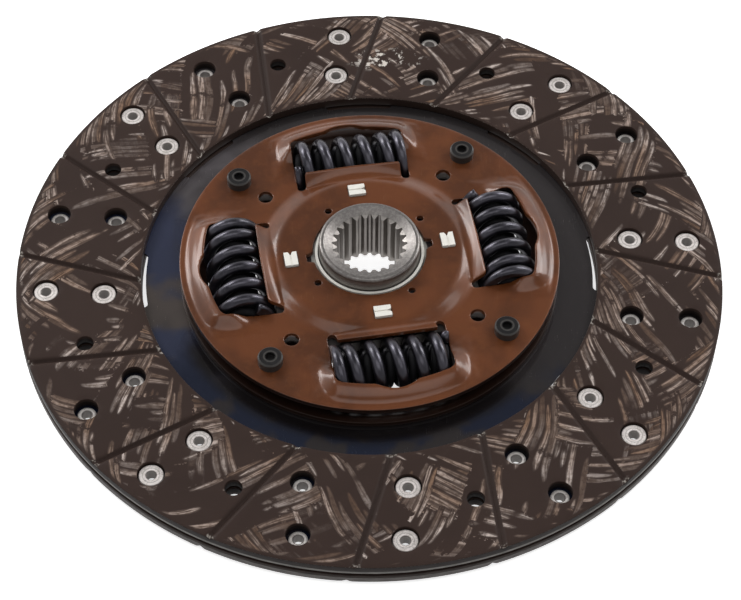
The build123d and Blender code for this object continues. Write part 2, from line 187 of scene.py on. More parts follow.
class ClutchSprings(bpy.types.PropertyGroup):
    """Sizes of the damper springs, in millimetres."""

    outer_diameter: sized("Outer spring", "Outside diameter of the large springs", 21.0, 10.0, 30.0)
    outer_wire: sized("Outer wire", "Wire of the large springs", 4.0, 1.0, 6.0)
    outer_pitch: sized("Outer pitch", "Distance between open turns of the large springs", 7.15, 4.0, 12.0)
    inner_diameter: sized("Inner spring", "Outside diameter of the small springs", 12.4, 5.0, 20.0)
    inner_wire: sized("Inner wire", "Wire of the small springs", 2.6, 0.5, 4.0)
    inner_pitch: sized("Inner pitch", "Distance between open turns of the small springs", 3.7, 2.0, 8.0)
    sides: bpy.props.IntProperty(
        name="Wire sides", description="Faces round the wire", default=20, min=8, max=48)


class ClutchStage(bpy.types.PropertyGroup):
    """Floor, light and camera."""

    floor_size: sized("Floor", "Side of the floor in metres", 8.0, 1.0, 40.0)
    lens: sized("Lens", "Focal length of the camera in millimetres", 108.75, 20.0, 300.0)
    ambient: sized("Ambient", "Strength of the even light from all round", 0.16, 0.0, 2.0)
    backdrop: sized("Backdrop", "Strength of the pale wall behind the disc", 0.75, 0.0, 3.0)


# ---------------------------------------------------------------- shader helpers


class Field:
    """A shader value that can be reckoned with like a number."""

    def __init__(self, socket):
        self.socket = socket
        self.tree = socket.id_data

    def __add__(self, other):
        return maths("ADD", self, other)

    def __sub__(self, other):
        return maths("SUBTRACT", self, other)

    def __rsub__(self, other):
        return maths("SUBTRACT", other, self)

    def __mul__(self, other):
        return maths("MULTIPLY", self, other)

    def __gt__(self, other):
        return maths("GREATER_THAN", self, other)

    def __abs__(self):
        return maths("ABSOLUTE", self)


def tree_of(values):
    """The node tree that the shader values among some values belong to."""
    return next(value.tree for value in values if isinstance(value, Field))


def feed(socket, value):
    """Links a shader value into a socket, or sets the socket's own value."""
    if isinstance(value, Field):
        value.tree.links.new(value.socket, socket)
    elif socket.type == "RGBA":
        socket.default_value = (*value, 1.0)
    else:
        socket.default_value = value


def add_node(tree, kind, inputs, **settings):
    """A node with its settings, and with its inputs fed by their names or places."""
    node = tree.nodes.new(kind)
    for name, value in settings.items():
        setattr(node, name, value)
    for place, value in inputs.items():
        feed(node.inputs[place], value)
    return node


def set_inputs(node, **values):
    """Feeds a node's inputs by their names, with underscores for spaces."""
    for name, value in values.items():
        feed(node.inputs[name.replace("_", " ")], value)


def maths(operation, *values):
    """One Math node."""
    node = add_node(tree_of(values), "ShaderNodeMath", dict(enumerate(values)), operation=operation)
    return Field(node.outputs[0])


def step(value, low, high, start=0.0, end=1.0):
    """A smooth rise from start to end as value goes from low to high."""
    inputs = {"Value": value, "From Min": low, "From Max": high, "To Min": start, "To Max": end}
    node = add_node(value.tree, "ShaderNodeMapRange", inputs, interpolation_type="SMOOTHSTEP")
    return Field(node.outputs["Result"])


def tint(factor, a, b, mode="MIX"):
    """One colour Mix node."""
    tree = tree_of((factor, a, b))
    node = add_node(tree, "ShaderNodeMix", {0: factor, 6: a, 7: b}, data_type="RGBA", blend_type=mode)
    return Field(node.outputs[2])


def choose(factor, a, b):
    """One value Mix node."""
    node = add_node(factor.tree, "ShaderNodeMix", {0: factor, 2: a, 3: b}, data_type="FLOAT")
    return Field(node.outputs[0])


def shaded(colour, share):
    """A colour made darker or paler."""
    return [c * share for c in colour]


def noise(vector, scale, detail=2.0, rough=0.5, warp=0.0):
    """A Noise Texture's value."""
    inputs = {"Vector": vector, "Scale": scale, "Detail": detail, "Roughness": rough, "Distortion": warp}
    return Field(add_node(vector.tree, "ShaderNodeTexNoise", inputs).outputs["Fac"])


def join(*values):
    """Three values as a vector."""
    return Field(add_node(tree_of(values), "ShaderNodeCombineXYZ", dict(enumerate(values))).outputs[0])


def split(vector):
    """A vector's three values."""
    node = add_node(vector.tree, "ShaderNodeSeparateXYZ", {0: vector})
    return [Field(socket) for socket in node.outputs]


def chance(*values):
    """A White Noise Texture's value for three values."""
    spot = {"Vector": join(*values)}
    node = add_node(tree_of(values), "ShaderNodeTexWhiteNoise", spot, noise_dimensions="3D")
    return Field(node.outputs["Value"])


def coordinates(tree, kind):
    """One output of a Texture Coordinate node."""
    return Field(tree.nodes.new("ShaderNodeTexCoord").outputs[kind])


def upward(tree):
    """How far the surface faces up, from -1 to 1."""
    return split(coordinates(tree, "Normal"))[2]


def distance(vector, point=(0.0, 0.0, 0.0)):
    """Distance from a point."""
    node = add_node(vector.tree, "ShaderNodeVectorMath", {0: vector, 1: point}, operation="DISTANCE")
    return Field(node.outputs["Value"])


def radius_of(vector):
    """Distance from the hub's axis."""
    x, y, _ = split(vector)
    return distance(join(x, y, 0.0))


def hypotenuse(a, b):
    """Length of a slope with two sides."""
    return maths("SQRT", maths("MULTIPLY_ADD", a, a, b * b))


def folded(where, sectors, start):
    """Distances along and across the middle line of the nearest of equal sectors round the hub's axis."""
    x, y, _ = split(where)
    radius = radius_of(where)
    pitch = 2 * pi / sectors
    turned = maths("ARCTAN2", y, x) - start
    angle = maths("FLOORED_MODULO", turned, pitch) - pitch / 2
    return radius * maths("COSINE", angle), radius * maths("SINE", angle)


def pin_distance(where):
    """Distance in mm from the axis of the nearest stop pin."""
    out, across = folded(where, DAMPERS, radians(WINDOW_ANGLE))
    return hypotenuse(out - PIN_CIRCLE, across)


def rivet_distance(where):
    """Distance in mm from the axis of the nearest facing rivet."""
    out, across = folded(where, 8, radians(SEGMENT_ANGLE) - radians(22.5))
    inner, outer = [abs(out - row) for row in RIVET_ROWS]
    return hypotenuse(maths("MINIMUM", inner, outer), abs(across) - RIVET_OFFSET)


def group_shell(name, takes, gives):
    """An empty node group: its inputs as shader values by name, and the node that takes its outputs."""
    group = bpy.data.node_groups.new(name, "ShaderNodeTree")
    for label, value in takes.items():
        kind = "NodeSocketVector" if value is None else "NodeSocketFloat"
        socket = group.interface.new_socket(label, in_out="INPUT", socket_type=kind)
        if value is not None:
            socket.default_value = value
    for label in gives:
        group.interface.new_socket(label, in_out="OUTPUT", socket_type="NodeSocketFloat")
    start = group.nodes.new("NodeGroupInput")
    end = group.nodes.new("NodeGroupOutput")
    return {socket.name: Field(socket) for socket in start.outputs if socket.name}, end


def use(name, **values):
    """Places a group, feeds its inputs and gives its outputs by name."""
    group = bpy.data.node_groups[name]
    node = add_node(tree_of(values.values()), "ShaderNodeGroup", values, node_tree=group)
    return {socket.name: Field(socket) for socket in node.outputs}


def material(name):
    """A new material: its Principled shader, and object coordinates in millimetres."""
    made = bpy.data.materials.new(name)
    made.use_nodes = True
    tree = made.node_tree
    shader = next(n for n in tree.nodes if n.type == "BSDF_PRINCIPLED")
    inputs = {0: coordinates(tree, "Object"), "Scale": 1 / MM}
    return shader, Field(add_node(tree, "ShaderNodeVectorMath", inputs, operation="SCALE").outputs[0])


def relief(shader, height, strength, depth):
    """Feeds a height into the shader's normal."""
    inputs = {"Height": height, "Strength": strength, "Distance": depth}
    feed(shader.inputs["Normal"], Field(add_node(height.tree, "ShaderNodeBump", inputs).outputs["Normal"]))


# ---------------------------------------------------------------- shared effects


def grain_group():
    """Fine grain and broad clouding that every finish shares."""
    takes = {"Vector": None, "Fine": 3.0, "Broad": 0.06}
    given, end = group_shell("Surface Grain", takes, ("Grain", "Clouds"))
    fine = noise(given["Vector"], given["Fine"], 3.0, 0.6)
    broad = noise(given["Vector"], given["Broad"], 3.0, 0.55, 0.4)
    set_inputs(end, Grain=fine, Clouds=broad)


def marks_group():
    """Scuffs and specks left by handling, as masks."""
    given, end = group_shell("Handling Marks", {"Vector": None, "Amount": 0.5}, ("Scuffs", "Specks"))
    vector, amount = given["Vector"], given["Amount"]
    stretch = {"Vector": vector, "Rotation": (0.2, 0.1, 0.9), "Scale": (2.6, 0.16, 0.4)}
    lines = noise(Field(add_node(vector.tree, "ShaderNodeMapping", stretch).outputs[0]), 1.0, 4.0, 0.6, 0.3)
    scuffs = step(lines, 0.58, 0.72) * step(noise(vector, 0.09), 0.48, 0.66)
    specks = step(noise(vector, 1.7, 1.0), 0.70, 0.78)
    set_inputs(end, Scuffs=scuffs * amount, Specks=specks * amount)


def yarn_group():
    """One family of yarns, wound from the inner to the outer edge.

    Each bundle has a few yarns, and each yarn is ground open in pieces of its own length. Count is the
    place round the disc in bundles, and Own is a chance value of each yarn.
    """
    takes = {"Angle": 0.0, "Radius": 0.0, "Lean": 1.0, "Seed": 0.0, "Sway": 0.0}
    given, end = group_shell("Yarn Family", takes, ("Streak", "Tone", "Count", "Own"))
    seed = given["Seed"]
    share = (given["Radius"] - FACING_MIDDLE) * (1 / YARN_SWING)
    along = maths("ARCSINE", maths("MINIMUM", maths("MAXIMUM", share, -0.985), 0.985))
    around = given["Angle"] + along * (1 / YARN_LOBES) * given["Lean"] + given["Sway"]
    count = around * (YARN_BUNDLES / (2 * pi))
    bundle = maths("FLOORED_MODULO", maths("FLOOR", count), YARN_BUNDLES)
    fine = maths("FRACT", count) * YARNS_A_BUNDLE
    yarn = maths("FLOOR", fine)
    wander = (noise(join(yarn * 5.0, along * 1.7, bundle), 1.0, 1.0) - 0.5) * 0.38
    beside = abs(maths("FRACT", fine) - 0.5 + wander)

    own = chance(bundle, yarn, seed + 0.5)
    run = along * 0.62 + chance(bundle, seed, 2.5) * 5.0 + own * 0.42
    piece = maths("FLOOR", run)
    place = maths("FRACT", run)
    lot = chance(bundle + 0.5, yarn + seed, piece)
    left = place - maths("MULTIPLY_ADD", lot, 0.45, 0.5)
    taper = maths("POWER", step(place, 0.0, 0.22) * step(left, 0.0, -0.22), 0.35)
    crowd = step(chance(bundle, piece, seed + 4.5), 0.05, 0.60, 0.55, 0.06)
    shown = chance(yarn, piece, bundle + 0.25) > crowd

    hairs = noise(join(count * 9.0, along * 3.2, seed), 1.0, 2.0, 0.55)
    past = beside - step(hairs, 0.28, 0.66, 0.19, 0.44) * taper
    stain = step(past, 0.26, -0.06, 0.0, 0.24)
    strands = noise(join(count * 27.0, along * 3.0, seed), 1.0, 2.0, 0.6)
    strands = step(strands, 0.38, 0.58, 0.16, 1.0)
    faint = step(chance(piece, yarn + 0.7, bundle), 0.10, 0.65, 0.35, 1.0)
    core = maths("MAXIMUM", step(past, 0.05, -0.10) * strands * faint, stain)
    streak = core * shown * step(taper, 0.05, 0.4)
    flare = step(left, -0.34, -0.08) * 0.65
    tone = (lot * 0.65 + flare) * maths("MULTIPLY_ADD", strands, 0.45, 0.55)
    set_inputs(end, Streak=streak, Tone=tone, Count=maths("FLOORED_MODULO", count, YARN_BUNDLES), Own=own)


def shared_effects(where, fine, broad, marks=None):
    """The shared effects at a place: Grain and Clouds, and Scuffs and Specks where there are marks."""
    effects = use("Surface Grain", Vector=where, Fine=fine, Broad=broad)
    if marks is not None:
        effects.update(use("Handling Marks", Vector=where, Amount=marks))
    return effects


# ---------------------------------------------------------------- finishes


def crossed_yarns(where, radius, side):
    """Streaks and tone of two families of yarn that lie over and under each other."""
    x, y, _ = split(where)
    angle = maths("ARCTAN2", y, x)
    shift = side * 3.7
    ragged = maths("MULTIPLY_ADD", noise(where, 0.8, 2.0, 0.6), 0.44, -0.22)
    families = []
    for lean, seed, scale, sway in ((-1.0, shift, 0.017, 0.30), (1.0, shift + 31.0, 0.020, -0.30)):
        swayed = (noise(where, scale, 1.0) - 0.5) * sway
        family = use("Yarn Family", Angle=angle, Radius=radius, Lean=lean, Seed=seed, Sway=swayed)
        families.append(family)

    def rank(family, crossing, seed):
        """How high each length of a bundle lies, and its streaks, fading where that changes."""
        bundle = maths("FLOOR", family["Count"] + ragged)
        start = maths("MULTIPLY_ADD", family["Own"], 0.9, chance(bundle, seed, 0.5) * 7.0)
        run = (crossing["Count"] + ragged + start) * 0.34
        place = maths("FRACT", run)
        fading = step(place, 0.0, 0.06) * step(place, 1.0, 0.94)
        return chance(bundle, maths("FLOOR", run), shift + seed), family["Streak"] * fading

    rising, falling = families
    rank_i, streak_i = rank(rising, falling, 3.0)
    rank_j, streak_j = rank(falling, rising, 11.0)
    above = rank_i > rank_j
    top = maths("MAXIMUM", rank_i, rank_j)
    tone = choose(above, falling["Tone"], rising["Tone"])
    beneath = choose(above, streak_i, streak_j) * step(top, 0.42, 0.26, 0.0, 0.35)
    streak = choose(above, streak_j, streak_i) * step(top, 0.14, 0.20)
    return maths("MAXIMUM", streak, beneath), tone


def edge_bands(z):
    """Colours of the pack's outer edge by height: lower facing, a band of painted shade on its edge next to the
    gap between the facings, upper facing, and a dark band along the upper facing's top.
    """
    lower, gap_shade = (0.13, 0.12, 0.115), (0.030, 0.022, 0.019)
    upper, top = (0.17, 0.16, 0.15), (0.020, 0.016, 0.015)
    # The gap band is painted shade on the lower facing's edge next to the gap between the facings
    stops = ((0.0, lower), (0.40, lower), (0.425, gap_shade), (0.545, gap_shade),
             (0.56, upper), (0.765, upper), (0.79, top))
    node = add_node(z.tree, "ShaderNodeValToRGB", {0: z * 0.1})
    ramp = node.color_ramp
    while len(ramp.elements) < len(stops):
        ramp.elements.new(0.5)
    for element, (place, colour) in zip(ramp.elements, stops):
        element.position = place
        element.color = (*colour, 1.0)
    return Field(node.outputs[0])


def friction_lining(finish):
    """Dark resin with bundles of ground-off yarn that cross each other."""
    shader, where = material("friction_lining")
    x, y, z = split(where)
    radius = radius_of(where)
    side = z > PACK_MID
    level = abs(z - PACK_MID)
    land = step(level, 4.02, 4.10)
    tilt = abs(upward(where.tree))
    streak, tone = crossed_yarns(where, radius, side)
    rims = step(radius, 119.2, 118.2) * step(radius, 78.4, 79.2)
    streak = streak * land * (rims * step(noise(where, 0.10), 0.28, 0.42))

    effects = shared_effects(where, fine=2.6, broad=0.05)
    resin = tint(effects["Clouds"], shaded(finish.resin, 0.80), shaded(finish.resin, 1.22))
    yarn = tint(maths("MINIMUM", tone, 1.0), finish.yarn_warm, finish.yarn_pale)
    soiled = step(noise(where, 0.5, 3.0, 0.6), 0.42, 0.66, 0.0, 0.6)
    face = tint(streak, resin, tint(soiled, yarn, shaded(finish.yarn_warm, 0.45)))

    # Painted shade on the deep walls of the wells and grooves
    wall_shade = step(tilt, 0.93, 0.75) * step(level, 3.0, 2.7)
    wall_shade = wall_shade * (step(radius, 119.4, 119.0) * step(radius, 78.4, 78.8))
    face = tint(wall_shade * 0.8, face, (0.008, 0.006, 0.006))

    # One torn, pale patch near the outer edge
    torn = step(distance(join(x * 0.42, y, 0.0), (2.3, 97.2, 0.0)), 7.0, 3.0) * (land * side)
    torn = torn * step(noise(where, 0.26, 3.0, 0.7), 0.55, 0.61)
    face = tint(torn, face, (0.60, 0.55, 0.50))

    # Pale patches on the groove floors where they meet the rims
    ends = (step(radius, 118.2, 119.4) + step(radius, 79.2, 78.2)) * (1.0 - land)
    ends = ends * (step(tilt, 0.3, 0.6) * step(level, 2.4, 2.8))
    face = tint(ends * step(noise(where, 1.3), 0.46, 0.60), face, (0.30, 0.27, 0.24))

    rim = step(radius, 119.6, 119.9) * step(level, 4.1, 4.0)
    rim_tone = step(noise(join(x, y, z * 6.0), 0.25, 3.0), 0.3, 0.7, 0.72, 1.25)
    edge = tint(1.0, edge_bands(z), join(rim_tone, rim_tone, rim_tone), "MULTIPLY")
    rough = step(effects["Grain"], 0.3, 0.7, 0.46, 0.62) + streak * 0.05
    set_inputs(shader, Base_Color=tint(rim, face, edge), Roughness=rough, Specular_IOR_Level=0.11)
    relief(shader, streak + effects["Grain"] * 0.25, 0.5, 0.00018)


def copper_lacquer(finish):
    """Glossy copper-brown lacquer on pressed steel, dark and dull with painted shade between the plates, and dark
    and dull on the sheared rims, partly as bare edge and partly as painted shade.
    """
    shader, where = material("copper_lacquer")
    effects = shared_effects(where, fine=1.8, broad=0.045, marks=0.12)
    clouds = step(effects["Clouds"], 0.36, 0.64)
    colour = tint(clouds, shaded(finish.lacquer, 0.72), shaded(finish.lacquer, 1.20))
    warm = step(noise(where, 0.35, 4.0, 0.6), 0.45, 0.75, 0.0, 0.35)
    colour = tint(warm, colour, (0.155, 0.050, 0.013))
    colour = tint(effects["Scuffs"], colour, (0.30, 0.19, 0.12))
    tilt = upward(where.tree)
    # Painted shade: nearly black and less glossy on the surfaces between the plates
    between_plates_shade = step(tilt, -0.6, -0.3) * step(split(where)[2], MID, MID - 1.0)
    # Sheared outer rims: partly bare cut edge, partly painted shade
    sheared = step(abs(tilt), 0.55, 0.25) * step(radius_of(where), 60.0, 61.0)
    shade_and_bare_rim = maths("MAXIMUM", between_plates_shade, sheared)
    colour = tint(shade_and_bare_rim * 0.94, colour, (0.010, 0.0045, 0.003))
    rough = step(effects["Grain"], 0.3, 0.7, 0.34, 0.46) + effects["Scuffs"]
    set_inputs(shader, Base_Color=colour, Roughness=rough, Metallic=0.2, Specular_IOR_Level=0.2,
               Coat_Weight=step(shade_and_bare_rim, 0.0, 1.0, 0.58, 0.08), Coat_Roughness=0.15)
    relief(shader, effects["Clouds"], 0.10, 0.0012)


def blued_steel(finish):
    """Oiled spring steel with straw, blue and grey temper colours, darker towards the front, with painted shade
    nearly black on its inner band there.
    """
    shader, where = material("blued_steel")
    effects = shared_effects(where, fine=1.4, broad=0.03, marks=0.10)
    x, y, _ = split(where)
    drift = (effects["Clouds"] - 0.5) * 90.0
    wavy = maths("MULTIPLY_ADD", noise(where, 0.07), 26.0, y - 13.0)
    straw = step(wavy, -2.0, -9.0) * step(wavy, -27.0, -20.0)
    blue = tint(straw, finish.blued, (0.130, 0.108, 0.098))
    blue = tint(step(wavy, 22.0, 34.0), blue, (0.190, 0.170, 0.180))
    colour = tint(step(x + drift, -38.0, -66.0), (0.062, 0.054, 0.055), blue)
    patchy = step(noise(where, 0.075), 0.44, 0.58)
    front = tint(patchy, (0.023, 0.030, 0.060), (0.056, 0.048, 0.049))
    # Painted shade: nearly black on the front's inner band, next to the retainer plate
    front = tint(step(radius_of(where), 67.5, 73.0), (0.018, 0.015, 0.016), front)
    colour = tint(step(y + drift, -28.0, -52.0), colour, front)
    colour = tint(effects["Scuffs"], colour, (0.16, 0.15, 0.15))
    rough = step(effects["Grain"], 0.3, 0.7, 0.16, 0.26) + effects["Scuffs"]
    set_inputs(shader, Base_Color=colour, Roughness=rough, Metallic=0.6, Coat_Weight=0.5, Coat_Roughness=0.06)
    relief(shader, effects["Clouds"], 0.10, 0.003)


def dark_metal(name, colour, pale, gloss, coat, metal=0.3, highlight_rings=()):
    """Black lacquer or oxide on steel, paler where it is rubbed, and with painted highlights as pale rings round a
    pin's axis.
    """
    shader, where = material(name)
    effects = shared_effects(where, fine=2.4, broad=0.12, marks=0.3)
    shade = tint(step(effects["Clouds"], 0.35, 0.7), shaded(colour, 0.7), shaded(colour, 1.4))
    shade = tint(effects["Scuffs"], shade, pale)
    # Painted highlights: pale rings round each pin's axis
    for reach in highlight_rings:
        away = abs(pin_distance(where) - reach)
        shade = tint(step(away, 0.42, 0.12, 0.0, 0.7), shade, pale)
    rough = step(effects["Grain"], 0.3, 0.7, gloss, gloss + 0.12) + effects["Scuffs"] * 0.3
    set_inputs(shader, Base_Color=shade, Roughness=rough, Metallic=metal, Specular_IOR_Level=0.3,
               Coat_Weight=coat, Coat_Roughness=0.1)
    relief(shader, effects["Grain"], 0.12, 0.00008)


def rivet_plating(finish):
    """Pale plating with a little tarnish, painted shade round the bore's mouth and on the walls, a faint darker
    ring further out, and painted light on the sunk ends.
    """
    shader, where = material("rivet_plating")
    effects = shared_effects(where, fine=2.0, broad=0.35, marks=0.7)
    # Painted light: the sunk ends deep in their wells are paler and less metallic
    sunk_painted_light = step(abs(split(where)[2] - PACK_MID), 3.2, 2.7)
    colour = tint(sunk_painted_light, finish.nickel, (0.92, 0.87, 0.83))
    colour = tint(step(effects["Clouds"], 0.4, 0.72, 0.0, 0.6), colour, (0.50, 0.45, 0.41))
    pitted = step(noise(where, 2.1, 2.0, 0.6), 0.56, 0.68, 0.0, 0.6)
    colour = tint(pitted, colour, (0.24, 0.21, 0.195))
    colour = tint(effects["Specks"], colour, (0.16, 0.13, 0.11))
    reach = rivet_distance(where)
    # Painted shade at the bore's mouth, and a faint darker ring further out
    bore_shade = step(abs(reach - 1.70), 0.26, 0.10) * 0.85
    closed = step(abs(reach - 2.75), 0.30, 0.05, 0.0, 0.35)
    colour = tint(maths("MAXIMUM", bore_shade, closed), colour, (0.060, 0.050, 0.046))
    # Painted shade on the rivets' walls
    wall_shade = step(abs(upward(where.tree)), 0.9, 0.4, 0.0, 0.85)
    colour = tint(wall_shade, colour, (0.36, 0.33, 0.31))
    set_inputs(shader, Base_Color=colour, Roughness=step(effects["Grain"], 0.3, 0.7, 0.34, 0.5),
               Metallic=step(sunk_painted_light, 0.0, 1.0, 0.6, 0.1))
    relief(shader, effects["Grain"], 0.25, 0.0001)


def machined_steel(finish):
    """Turned and broached steel, darker on the flange inside, with painted shade on the outer wall and on the
    mottled end face.
    """
    shader, where = material("machined_steel")
    x, y, z = split(where)
    radius = radius_of(where)
    effects = shared_effects(where, fine=2.2, broad=0.16, marks=0.5)
    inside = step(radius, 18.0, 19.5)
    bore = step(radius, 12.95, 12.75)
    colour = tint(step(effects["Clouds"], 0.35, 0.7), finish.steel, shaded(finish.steel, 0.78))
    colour = tint(inside, colour, (0.085, 0.08, 0.078))
    colour = tint(bore * 0.75, colour, (0.20, 0.18, 0.165))
    # Painted shade on the hub's outer wall
    wall_shade = step(radius, 16.9, 17.15) * step(z, 23.1, 22.6)
    colour = tint(wall_shade * 0.6, colour, (0.17, 0.15, 0.14))
    # Painted shade on the end face and its chamfer, with a mottled tone
    crown_shade = step(z, 21.3, 22.3) * step(radius, 12.2, 12.7)
    mottled = step(noise(where, 1.1, 4.0, 0.65), 0.38, 0.66)
    colour = tint(crown_shade * 0.95, colour, tint(mottled, (0.165, 0.152, 0.144), (0.240, 0.223, 0.212)))
    colour = tint(effects["Specks"], colour, (0.22, 0.20, 0.18))
    turned = noise(join(radius * 9.0, 0.0, z * 7.0), 1.0)
    broached = noise(join(x * 5.0, y * 5.0, z * 0.12), 1.0)
    lines = choose(bore, turned, broached)
    rough = step(lines, 0.3, 0.7, 0.32, 0.48) + inside * 0.1
    set_inputs(shader, Base_Color=colour, Roughness=rough, Metallic=0.95)
    relief(shader, lines, 0.22, 0.00008)


def moulded_plastic(finish):
    """Off-white plastic with faint dirt."""
    shader, where = material("moulded_plastic")
    effects = shared_effects(where, fine=1.6, broad=0.3, marks=0.4)
    colour = tint(step(effects["Clouds"], 0.45, 0.8), finish.bush, shaded(finish.bush, 0.86))
    colour = tint(effects["Scuffs"], colour, (0.45, 0.36, 0.27))
    set_inputs(shader, Base_Color=colour, Roughness=step(effects["Grain"], 0.3, 0.7, 0.42, 0.56))
    relief(shader, effects["Grain"], 0.15, 0.0001)


def floor_paper():
    """Pale floor that stays white to the camera and keeps a soft shadow."""
    shader, where = material("floor_paper")
    tree = where.tree
    cloud = step(noise(where, 0.002), 0.3, 0.7, 0.80, 0.84)
    set_inputs(shader, Base_Color=join(cloud, cloud, cloud), Roughness=0.9, Specular_IOR_Level=0.1)
    rays = tree.nodes.new("ShaderNodeLightPath").outputs
    seen = maths("MAXIMUM", Field(rays["Is Camera Ray"]), Field(rays["Is Glossy Ray"]))
    seen = maths("MAXIMUM", seen, Field(rays["Is Transmission Ray"]))
    glow = add_node(tree, "ShaderNodeEmission", {"Color": (1.0, 1.0, 1.0), "Strength": seen * 0.72})
    both = add_node(tree, "ShaderNodeAddShader", {0: Field(shader.outputs[0]), 1: Field(glow.outputs[0])})
    out = next(n for n in tree.nodes if n.type == "OUTPUT_MATERIAL")
    feed(out.inputs["Surface"], Field(both.outputs[0]))


def named_material(name):
    """A finish made earlier, or an error that says what is missing."""
    found = bpy.data.materials.get(name)
    if found is None:
        raise RuntimeError(f"run the finishes operator first: there is no material {name}")
    return found


def paint(node_name, finish_name):
    """Gives a solid of the frame its finish."""
    obj = nodes[node_name]
    for part in obj.material_slots:
        part.material = named_material(finish_name)
    return obj


# ---------------------------------------------------------------- plates


def smooth(value, low, high):
    """0 below low, 1 above high, with a soft rise between."""
    t = min(max((value - low) / (high - low), 0.0), 1.0)
    return t * t * (3 - 2 * t)


def soft_max(a, b, width):
    """The larger of two heights, blended where they are close."""
    h = min(max(0.5 + 0.5 * (a - b) / width, 0.0), 1.0)
    return b + (a - b) * h + width * h * (1 - h)


def turned_to(x, y, angle):
    """The point in axes turned by an angle in degrees."""
    c, s = cos(radians(angle)), sin(radians(angle))
    return x * c + y * s, -x * s + y * c


def skin_height(x, y, rise, inner):
    """Height of a plate's outer skin above the flat of its underside."""
    r = hypot(x, y)
    dome, hood = rise * smooth(r, DOME_FOOT, DOME_TOP), 0.0
    for i in range(DAMPERS):
        u, v = turned_to(x, y, WINDOW_ANGLE + 90 * i)
        v = abs(v)
        if v > 28 or u < FLAP_FOOT - 2:
            continue
        bent = soft_max(0.0, (u - FLAP_FOOT) / (inner - FLAP_FOOT), 0.10)
        bent = bent * smooth(v, 19.0, 16.9) * smooth(u, 46.0, 42.0)
        dome += (LIP_RISE - dome) * min(bent, 1.0)
        climb = min(max((HOOD_FOOT - r) / HOOD_RUN, 0.0), 1.0)
        hood = HOOD_RISE * (1 - (1 - climb) ** 2) * smooth(v, 26.4, 19.0) * smooth(r, 47.0, 54.0)
    return PLATE_THICK + (soft_max(dome, hood, 0.6) - 0.15 * smooth(hood, 0.0, 0.6) if hood > 0 else dome)


def plate_underside(x, y, skin):
    """Height of a plate's inner skin: a thickness below the outer one, and clear of the springs."""
    low = skin - PLATE_THICK
    for i in range(DAMPERS):
        u, v = turned_to(x, y, WINDOW_ANGLE + 90 * i)
        away = SPRING_ROOM ** 2 - (u - SPRING_CIRCLE) ** 2
        if u > 30 and abs(v) < WINDOW_HALF + 0.3 and away > 0:
            low = max(low, min(sqrt(away) - PLATE_HALF_GAP, skin - 0.15))
    return low


def circle_loop(cx, cy, radius, count):
    """Points round a circle."""
    turns = [2 * pi * k / count for k in range(count)]
    return [(cx + radius * cos(turn), cy + radius * sin(turn)) for turn in turns]


def resample(points, spacing):
    """A closed outline with points at even distances, corners kept."""
    out = []
    for (x0, y0), (x1, y1) in zip(points, points[1:] + points[:1]):
        n = max(1, round(hypot(x1 - x0, y1 - y0) / spacing))
        out += [(x0 + (x1 - x0) * k / n, y0 + (y1 - y0) * k / n) for k in range(n)]
    return out


def window_loop(angle, spacing, inner, outer, scalloped):
    """Outline of a spring window: straight inner edge, reliefs at its corners, curved outer edge."""
    half = RELIEF_WIDTH / 2
    relief_mid = WINDOW_HALF - half
    right = [(inner, 0.0), (inner - 0.3, relief_mid - half - 0.5), (inner - 1.1, relief_mid - half)]
    for k in range(9):
        a = pi * k / 8
        right.append((RELIEF_TIP + half - half * sin(a), relief_mid - half * cos(a)))
    corner = sqrt(outer ** 2 - WINDOW_HALF ** 2)
    right += [(inner, WINDOW_HALF), (corner - 1.2, WINDOW_HALF), (corner - 0.2, WINDOW_HALF - 0.5)]
    for k in range(1, 25):
        v = (WINDOW_HALF - 1.0) * (1 - k / 24)
        edge = sqrt(outer * outer - v * v)
        reach = SCALLOP_RADIUS ** 2 - v * v if scalloped else 0.0
        bite = SCALLOP_CENTRE + sqrt(reach) if reach > 0 else 0.0
        right.append((soft_max(edge, bite, 0.5) if abs(v) < 9 and bite else edge, v))
    left = [(u, -v) for u, v in reversed(right[1:-1])]
    return [turned_to(u, v, -angle) for u, v in resample(right + left, spacing)]


def keyed_hole(spacing):
    """The gearbox plate's hub hole, with a notch each side."""
    points = []
    for k in range(180):
        angle = 2 * k - WINDOW_ANGLE
        away = abs((angle + 90) % 180 - 90)
        radius = HUB_HOLE + (KEY_RADIUS - HUB_HOLE) * smooth(away, 6.6, 4.4)
        points.append(spun(radius, angle + WINDOW_ANGLE))
    return resample(points, spacing)


def spun(radius, angle):
    """A point at a radius and an angle in degrees."""
    return radius * cos(radians(angle)), radius * sin(radians(angle))


def slot_loop(cx, cy, along, across, angle, corner=0.5):
    """A rectangle with cut corners, turned by an angle."""
    a, b = along / 2, across / 2
    points = [(a, -b + corner), (a, b - corner), (a - corner, b), (-a + corner, b),
              (-a, b - corner), (-a, -b + corner), (-a + corner, -b), (a - corner, -b)]
    c, s = cos(radians(angle)), sin(radians(angle))
    return [(cx + u * c - v * s, cy + u * s + v * c) for u, v in points]


def inside_loop(x, y, loop):
    """True if a point is inside a closed outline."""
    found = False
    x0, y0 = loop[-1]
    for x1, y1 in loop:
        if (y0 > y) != (y1 > y) and x < (x1 - x0) * (y - y0) / (y1 - y0) + x0:
            found = not found
        x0, y0 = x1, y1
    return found


def area_of(loop):
    """Signed area of a closed outline."""
    return 0.5 * sum(x0 * y1 - x1 * y0 for (x0, y0), (x1, y1) in zip(loop, loop[1:] + loop[:1]))


def grown(loop, distance):
    """A closed outline moved to the right of its direction of travel by a distance."""
    out = []
    n = len(loop)
    for k in range(n):
        (xa, ya), (xb, yb) = loop[k - 1], loop[(k + 1) % n]
        tx, ty = xb - xa, yb - ya
        length = hypot(tx, ty) or 1.0
        out.append((loop[k][0] + ty / length * distance, loop[k][1] - tx / length * distance))
    return out


